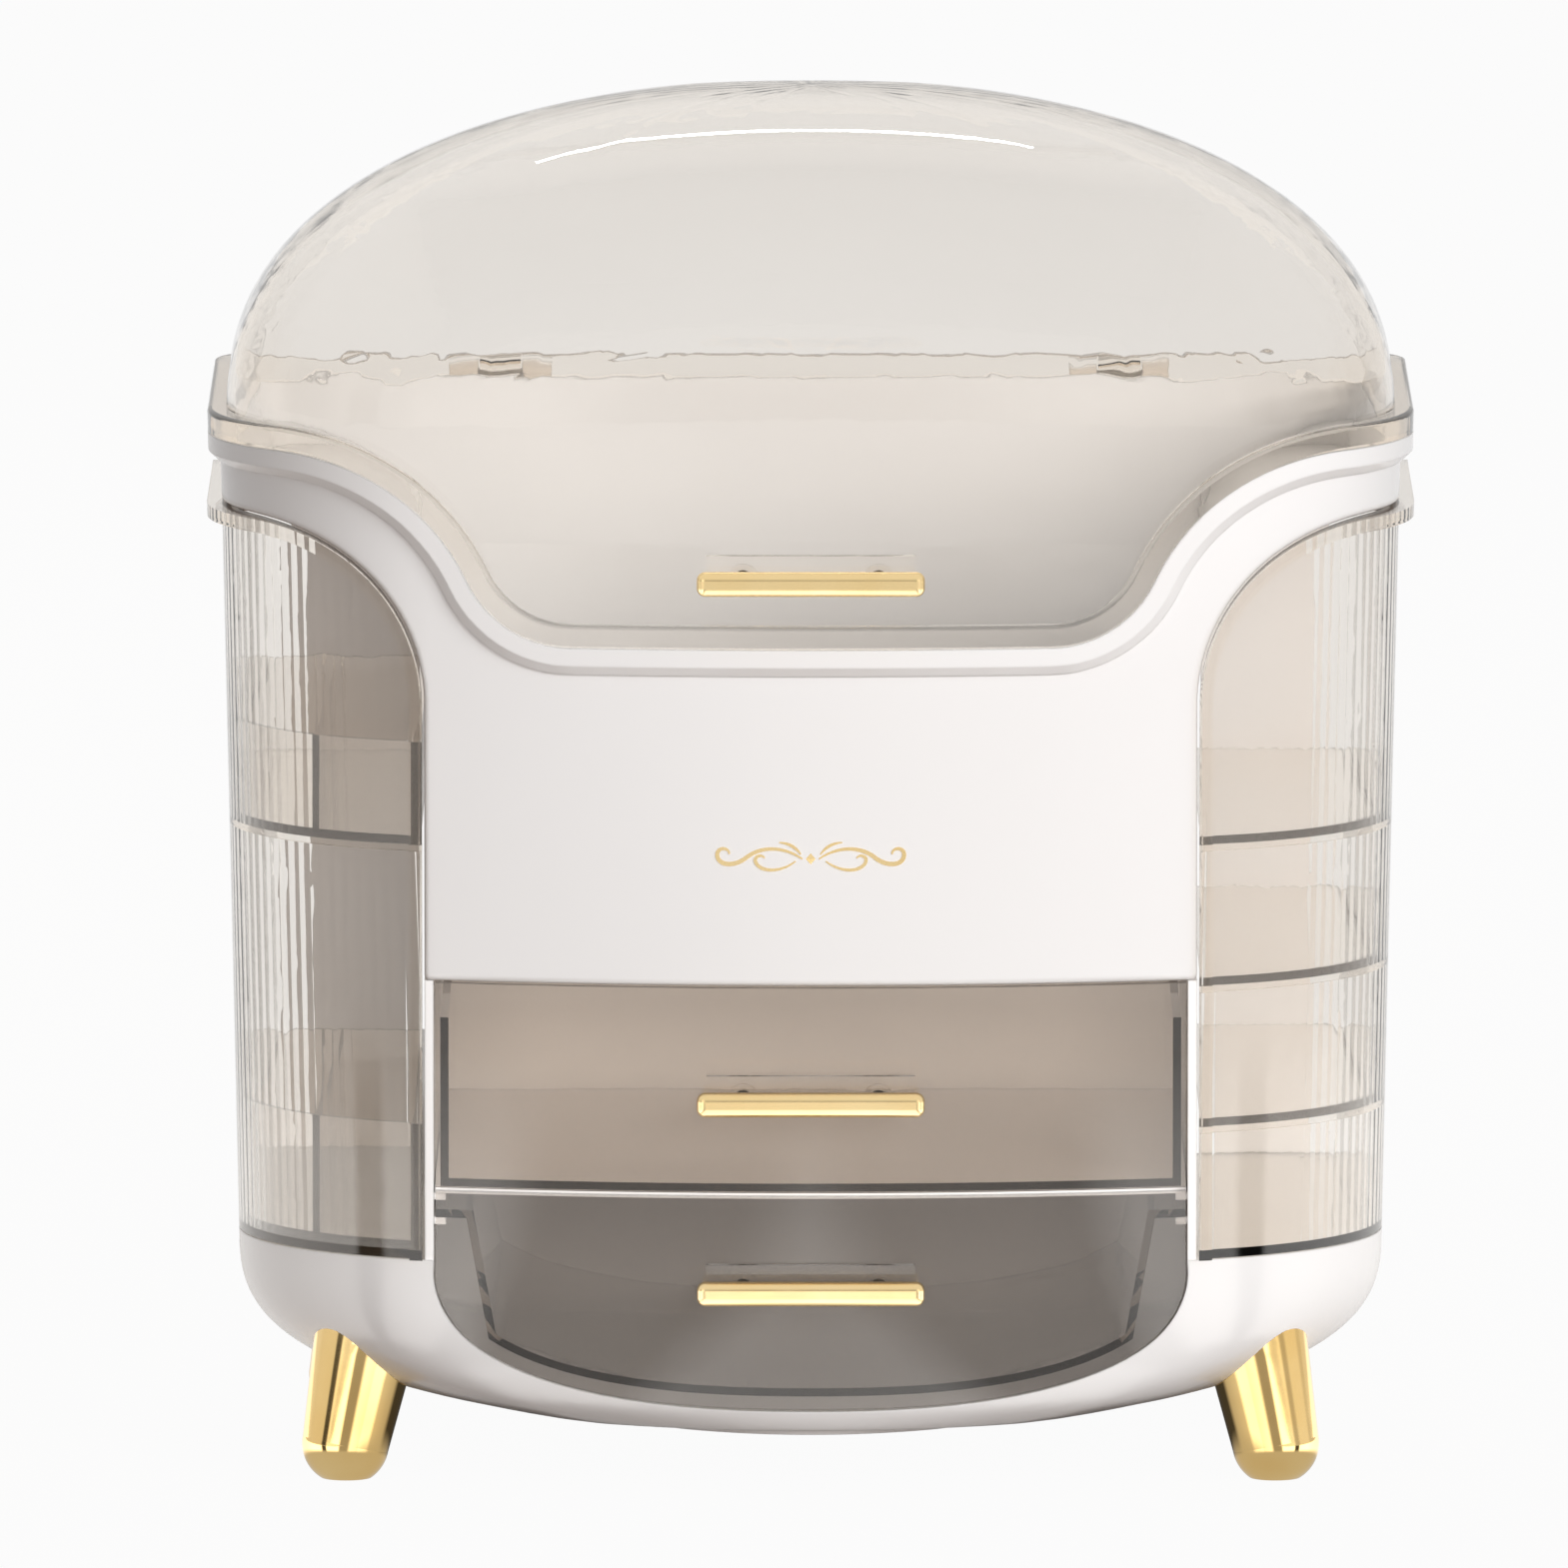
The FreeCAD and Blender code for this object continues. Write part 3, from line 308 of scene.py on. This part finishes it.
def ribbon(mesh, path, widths, sink, lift):
    # a flat raised stroke of varying width along a path of (x, z) points
    rings = []
    for n, (x, z) in enumerate(path):
        before = path[max(n - 1, 0)]
        after = path[min(n + 1, len(path) - 1)]
        along = Vector((after[0] - before[0], after[1] - before[1])).normalized()
        across = Vector((-along.y, along.x)) * widths[n] / 2
        corners = []
        for side, height in ((1, -sink), (1, lift), (-1, lift), (-1, -sink)):
            corners.append(mesh.verts.new(front_point(x + side * across.x, z + side * across.y, height)))
        rings.append(corners)
    for one, two in zip(rings, rings[1:]):
        for k in range(4):
            mesh.faces.new((one[k], one[(k + 1) % 4], two[(k + 1) % 4], two[k]))
    mesh.faces.new(rings[0][::-1])
    mesh.faces.new(rings[-1])


def bezier(points, count):
    # points along a chain of cubic curves
    found = []
    for start in range(0, len(points) - 1, 3):
        a, b, c, d = (Vector(p) for p in points[start:start + 4])
        for n in range(count + (start + 4 >= len(points))):
            t = n / count
            s = 1 - t
            found.append(a * s ** 3 + b * (3 * s * s * t) + c * (3 * s * t * t) + d * t ** 3)
    return found


def stroke_widths(count, widest):
    # narrow at both ends and widest in the middle
    swells = [math.sin(math.pi * n / (count - 1)) ** STROKE_SWELL_POWER for n in range(count)]
    return [widest * (STROKE_TIP_SHARE + (1 - STROKE_TIP_SHARE) * swell) for swell in swells]


def build_mark():
    mesh = bmesh.new()
    for side in (1, -1):
        for points, width in (OUTER_SCROLL, INNER_SCROLL, LEAF):
            curve = bezier(points, STROKE_STEPS)
            path = [(side * p.x * MILLIMETRE, MARK_Z + p.y * MILLIMETRE) for p in curve]
            widths = stroke_widths(len(path), width * MILLIMETRE)
            if side < 0:
                path.reverse()
                widths.reverse()
            ribbon(mesh, path, widths, MARK_SINK, STROKE_LIFT)
    low = []
    for x, z in DIAMOND:
        low.append(mesh.verts.new(front_point(x * MILLIMETRE, MARK_Z + z * MILLIMETRE, -MARK_SINK)))
    top = mesh.verts.new(front_point(0.0, MARK_Z, DIAMOND_LIFT))
    for k in range(4):
        mesh.faces.new((low[k], low[(k + 1) % 4], top))
    mesh.faces.new(low[::-1])
    bmesh.ops.recalc_face_normals(mesh, faces=mesh.faces)
    data = bpy.data.meshes.new("front_flourish")
    mesh.to_mesh(data)
    mesh.free()
    piece = bpy.data.objects.new("front_flourish", data)
    scene.collection.objects.link(piece)
    piece.data.materials.append(satin_gold)
    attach(piece, "housing")


build_mark()


# Floor and world: white to the eye, to metal and through clear plastic, with the object's soft shadow kept;
# for the gold feet the floor also glows with painted reflections and painted shade

MIRROR_STRENGTH = 3.0
WARM = (1.0, 0.98, 0.955)
# painted reflection: glow of the floor round a front foot that only mirror rays see, in pale and dark bands
# for the gold to mirror, by degrees from the front inwards
FLOOR_PAINTED_REFLECTION_BANDS = ((-180, 0.22), (-95, 1.0), (-68, 1.0), (-64, 0.03), (-54, 0.03), (-50, 1.0), (-20, 1.0),
               (-14, 0.15), (6, 0.15), (14, 0.75), (34, 0.6), (38, 0.75), (60, 0.75), (68, 0.28), (98, 0.2),
               (110, 0.02), (180, 0.02))
# brightness of the studio round the object as it is mirrored, by degrees from the front, towards the right
STUDIO_BANDS = ((-180, 0.24), (-97, 0.28), (-68, 0.28), (-64, 0.03), (-54, 0.03), (-50, 0.5), (-20, 0.5),
                (-12, 0.16), (10, 0.16), (20, 0.45), (50, 0.45), (56, 0.2), (64, 0.2), (70, 0.32), (98, 0.32),
                (106, 0.24), (180, 0.24))
# brightness of the studio as it shows through the clear plastic
CLEAR_BANDS = ((-180, 0.95), (-112, 0.95), (-100, 0.22), (-82, 0.22), (-74, 0.95), (-58, 0.95), (-52, 0.2),
               (-44, 0.2), (-36, 0.9), (-14, 0.5), (12, 0.45), (30, 0.95), (62, 0.95), (72, 0.22), (92, 0.22),
               (104, 0.95), (180, 0.95))


def bands(tree, sideways, frontways, table, strength):
    # brightness by the direction of a point, read from a table of degrees and levels
    turn = calculate(tree, "ARCTAN2", sideways, frontways)
    around = add(tree, "ShaderNodeMapRange", From_Min=-math.pi, From_Max=math.pi)
    link(tree, turn, around.inputs["Value"])
    levels = add(tree, "ShaderNodeValToRGB")
    stops = levels.color_ramp.elements
    stops[0].color = (*(table[0][1] * tone for tone in WARM), 1.0)
    stops[1].color = (*(table[-1][1] * tone for tone in WARM), 1.0)
    for degrees, level in table[1:-1]:
        stop = stops.new((degrees + 180.0) / 360.0)
        stop.color = (*(level * tone for tone in WARM), 1.0)
    link(tree, around.outputs["Result"], levels.inputs["Fac"])
    scaled = add(tree, "ShaderNodeVectorMath", {"operation": "SCALE"})
    link(tree, levels.outputs["Color"], scaled.inputs[0])
    scaled.inputs["Scale"].default_value = strength
    return scaled.outputs["Vector"]


FLOOR_RADIUS = 30.0
FLOOR_SEGMENTS = 64
FLOOR_NOISE_SCALE = 3.0
FLOOR_LOW = (0.31, 0.258, 0.236)
FLOOR_HIGH = (0.32, 0.268, 0.246)
FLOOR_SEEN_SHARE = 0.96
FOOT_X = 0.126
FOOT_Y = -0.078
# metres from a foot between which the painted shade close by turns into the painted bands, and the bands into
# pale floor
CLOSE_START = 0.03
CLOSE_END = 0.05
# painted shade: the floor right round a foot glows dimmer for mirror rays, standing for the shade under the
# object
CLOSE_PAINTED_SHADE_LEVEL = 0.62
DISTANT_START = 0.6
DISTANT_END = 0.9
DISTANT_LEVEL = 0.9
FLOOR_THROUGH_LEVEL = 0.9


def floor_painted_reflection(tree, place):
    # painted reflection: for mirror rays alone the floor glows in pale and dark bands farther off, which the
    # gold feet mirror, with painted shade close by and pale floor farther still
    parts = add(tree, "ShaderNodeSeparateXYZ")
    link(tree, place, parts.inputs["Vector"])
    inwards = calculate(tree, "SUBTRACT", FOOT_X, calculate(tree, "ABSOLUTE", parts.outputs["X"], 0.0))
    frontwards = calculate(tree, "SUBTRACT", FOOT_Y, parts.outputs["Y"])
    squares = calculate(tree, "ADD", calculate(tree, "MULTIPLY", inwards, inwards),
                        calculate(tree, "MULTIPLY", frontwards, frontwards))
    far = calculate(tree, "SQRT", squares, 0.0)
    banded = bands(tree, inwards, frontwards, FLOOR_PAINTED_REFLECTION_BANDS, MIRROR_STRENGTH)
    close = ramp(tree, far, BLACK, WHITE, CLOSE_START, CLOSE_END)
    level = blend_colour(tree, close, grey(CLOSE_PAINTED_SHADE_LEVEL), banded)
    distant = ramp(tree, far, BLACK, WHITE, DISTANT_START, DISTANT_END)
    return blend_colour(tree, distant, level, grey(DISTANT_LEVEL))


def build_floor():
    mesh = bmesh.new()
    bmesh.ops.create_circle(mesh, cap_ends=True, segments=FLOOR_SEGMENTS, radius=FLOOR_RADIUS)
    data = bpy.data.meshes.new("floor")
    mesh.to_mesh(data)
    mesh.free()
    floor = bpy.data.objects.new("floor", data)
    scene.collection.objects.link(floor)
    material, tree = new_material("floor_white")
    place = place_coordinates(tree)
    diffuse = add(tree, "ShaderNodeBsdfDiffuse")
    tone = ramp(tree, noise(tree, place, FLOOR_NOISE_SCALE), FLOOR_LOW, FLOOR_HIGH)
    link(tree, tone, diffuse.inputs["Color"])
    rays = add(tree, "ShaderNodeLightPath")
    glow = add(tree, "ShaderNodeEmission", Strength=1.0)
    # mirror rays see the painted reflection bands and the painted shade round the feet
    level = blend_colour(tree, rays.outputs["Is Glossy Ray"], WHITE, floor_painted_reflection(tree, place))
    level = blend_colour(tree, rays.outputs["Is Transmission Ray"], level, grey(FLOOR_THROUGH_LEVEL))
    link(tree, level, glow.inputs["Color"])
    seen = calculate(tree, "MAXIMUM", rays.outputs["Is Camera Ray"], rays.outputs["Is Glossy Ray"])
    seen = calculate(tree, "MAXIMUM", seen, rays.outputs["Is Transmission Ray"])
    mix = add(tree, "ShaderNodeMixShader")
    link(tree, calculate(tree, "MULTIPLY", seen, FLOOR_SEEN_SHARE), mix.inputs[0])
    link(tree, diffuse.outputs["BSDF"], mix.inputs[1])
    link(tree, glow.outputs["Emission"], mix.inputs[2])
    output(tree, mix.outputs["Shader"])
    data.materials.append(material)


# light of the studio from far left to far right, each at this sideways part of its direction
SIDE_REACH = 0.9
LEFT_LIGHT = (0.09, 0.073, 0.066)
RIGHT_LIGHT = grey(0.3)
# the upward parts of a direction between which the sides of the studio turn into its ceiling
CEILING_START = 0.16
CEILING_END = 0.42
CEILING_LIGHT = grey(0.45)
CEILING_MIRRORED = grey(0.9)


def build_world():
    # soft light from the right and above; mirrors and clear edges see pale and dark studio panels
    world = bpy.data.worlds.new("studio")
    scene.world = world
    world.use_nodes = True
    tree = world.node_tree
    tree.nodes.clear()
    coordinates = add(tree, "ShaderNodeTexCoord")
    parts = add(tree, "ShaderNodeSeparateXYZ")
    link(tree, coordinates.outputs["Generated"], parts.inputs["Vector"])
    side = add(tree, "ShaderNodeMapRange", From_Min=-SIDE_REACH, From_Max=SIDE_REACH)
    link(tree, parts.outputs["X"], side.inputs["Value"])
    soft = ramp(tree, side.outputs["Result"], LEFT_LIGHT, RIGHT_LIGHT, 0.0, 1.0)
    front = calculate(tree, "MULTIPLY", parts.outputs["Y"], -1.0)
    mirrored = bands(tree, parts.outputs["X"], front, STUDIO_BANDS, MIRROR_STRENGTH)
    clear = bands(tree, parts.outputs["X"], front, CLEAR_BANDS, 1.0)
    rays = add(tree, "ShaderNodeLightPath")
    level = blend_colour(tree, rays.outputs["Is Glossy Ray"], soft, mirrored)
    level = blend_colour(tree, rays.outputs["Is Transmission Ray"], level, clear)
    height = add(tree, "ShaderNodeMapRange", From_Min=CEILING_START, From_Max=CEILING_END)
    link(tree, parts.outputs["Z"], height.inputs["Value"])
    above = blend_colour(tree, rays.outputs["Is Glossy Ray"], CEILING_LIGHT, CEILING_MIRRORED)
    sky = blend_colour(tree, height.outputs["Result"], level, above)
    background = add(tree, "ShaderNodeBackground", Strength=1.0)
    link(tree, blend_colour(tree, rays.outputs["Is Camera Ray"], sky, WHITE), background.inputs["Color"])
    end = add(tree, "ShaderNodeOutputWorld")
    link(tree, background.outputs["Background"], end.inputs["Surface"])


build_floor()
build_world()


# Lamps

MIDDLE = (0.0, 0.0, 0.19)
DOME_FRONT = (-0.02, -0.05, 0.36)


def area_lamp(name, place, target, size, watts, colour=WHITE, mirrored=False):
    # a soft lamp that the camera never sees, and mirrors only where asked
    lamp = bpy.data.lights.new(name, "AREA")
    lamp.shape = "RECTANGLE"
    lamp.size, lamp.size_y = size
    lamp.energy = watts
    lamp.color = colour
    holder = bpy.data.objects.new(name, lamp)
    holder.location = place
    holder.rotation_euler = (Vector(target) - Vector(place)).to_track_quat("-Z", "Y").to_euler()
    holder.visible_camera = False
    holder.visible_glossy = mirrored
    holder.visible_transmission = False
    scene.collection.objects.link(holder)
    return holder


area_lamp("key", place=(1.5, -1.92, 0.95), target=MIDDLE, size=(1.1, 1.1), watts=37.5,
          colour=(0.99, 1.0, 1.01))
area_lamp("front_low", place=(0.1, -2.55, 0.3), target=MIDDLE, size=(1.0, 0.7), watts=17.0,
          colour=(1.0, 0.955, 0.92))
area_lamp("rear_fill", place=(-0.6, 1.9, 1.4), target=MIDDLE, size=(1.2, 1.2), watts=14.0)
area_lamp("dome_strip", place=(-0.05, 1.01, 1.42), target=DOME_FRONT, size=(0.68, 0.04), watts=2.0,
          mirrored=True)
# a second low lamp that lights the drawers, their cabinet, the trays and the shelves alone
inside = bpy.data.collections.new("inside")
for name in ("drawer_cabinet", "drawer_divider", "middle_drawer", "lower_drawer", "left_upper_tray",
             "left_lower_tray", "right_shelf_low", "right_shelf_middle", "right_shelf_high"):
    inside.objects.link(nodes[name])
inner_lamp = area_lamp("front_inside", place=(0.0, -2.55, 0.3), target=MIDDLE, size=(1.0, 0.7), watts=19.0,
                       colour=(1.0, 0.98, 0.962))
inner_lamp.light_linking.receiver_collection = inside


# Camera: far off with a long lens, as the straight sides of the photograph show

AIM = Vector((-0.0071, 0.0, 0.178))
CAMERA_DISTANCE = 9.0
CAMERA_ELEVATION = math.radians(7.0)
CAMERA_LENS = 769.5
CAMERA_SENSOR = 36.0
camera_data = bpy.data.cameras.new("camera")
camera_data.lens = CAMERA_LENS
camera_data.sensor_width = CAMERA_SENSOR
camera = bpy.data.objects.new("camera", camera_data)
away = Vector((0.0, -math.cos(CAMERA_ELEVATION), math.sin(CAMERA_ELEVATION)))
camera.location = AIM + away * CAMERA_DISTANCE
camera.rotation_euler = (-away).to_track_quat("-Z", "Y").to_euler()
scene.collection.objects.link(camera)
scene.camera = camera

# light passes many clear walls one behind another
MOST_BOUNCES = 16
MOST_CLEAR_CROSSINGS = 32
scene.cycles.max_bounces = MOST_BOUNCES
scene.cycles.transmission_bounces = MOST_BOUNCES
scene.cycles.transparent_max_bounces = MOST_CLEAR_CROSSINGS
scene.view_settings.view_transform = "Standard"
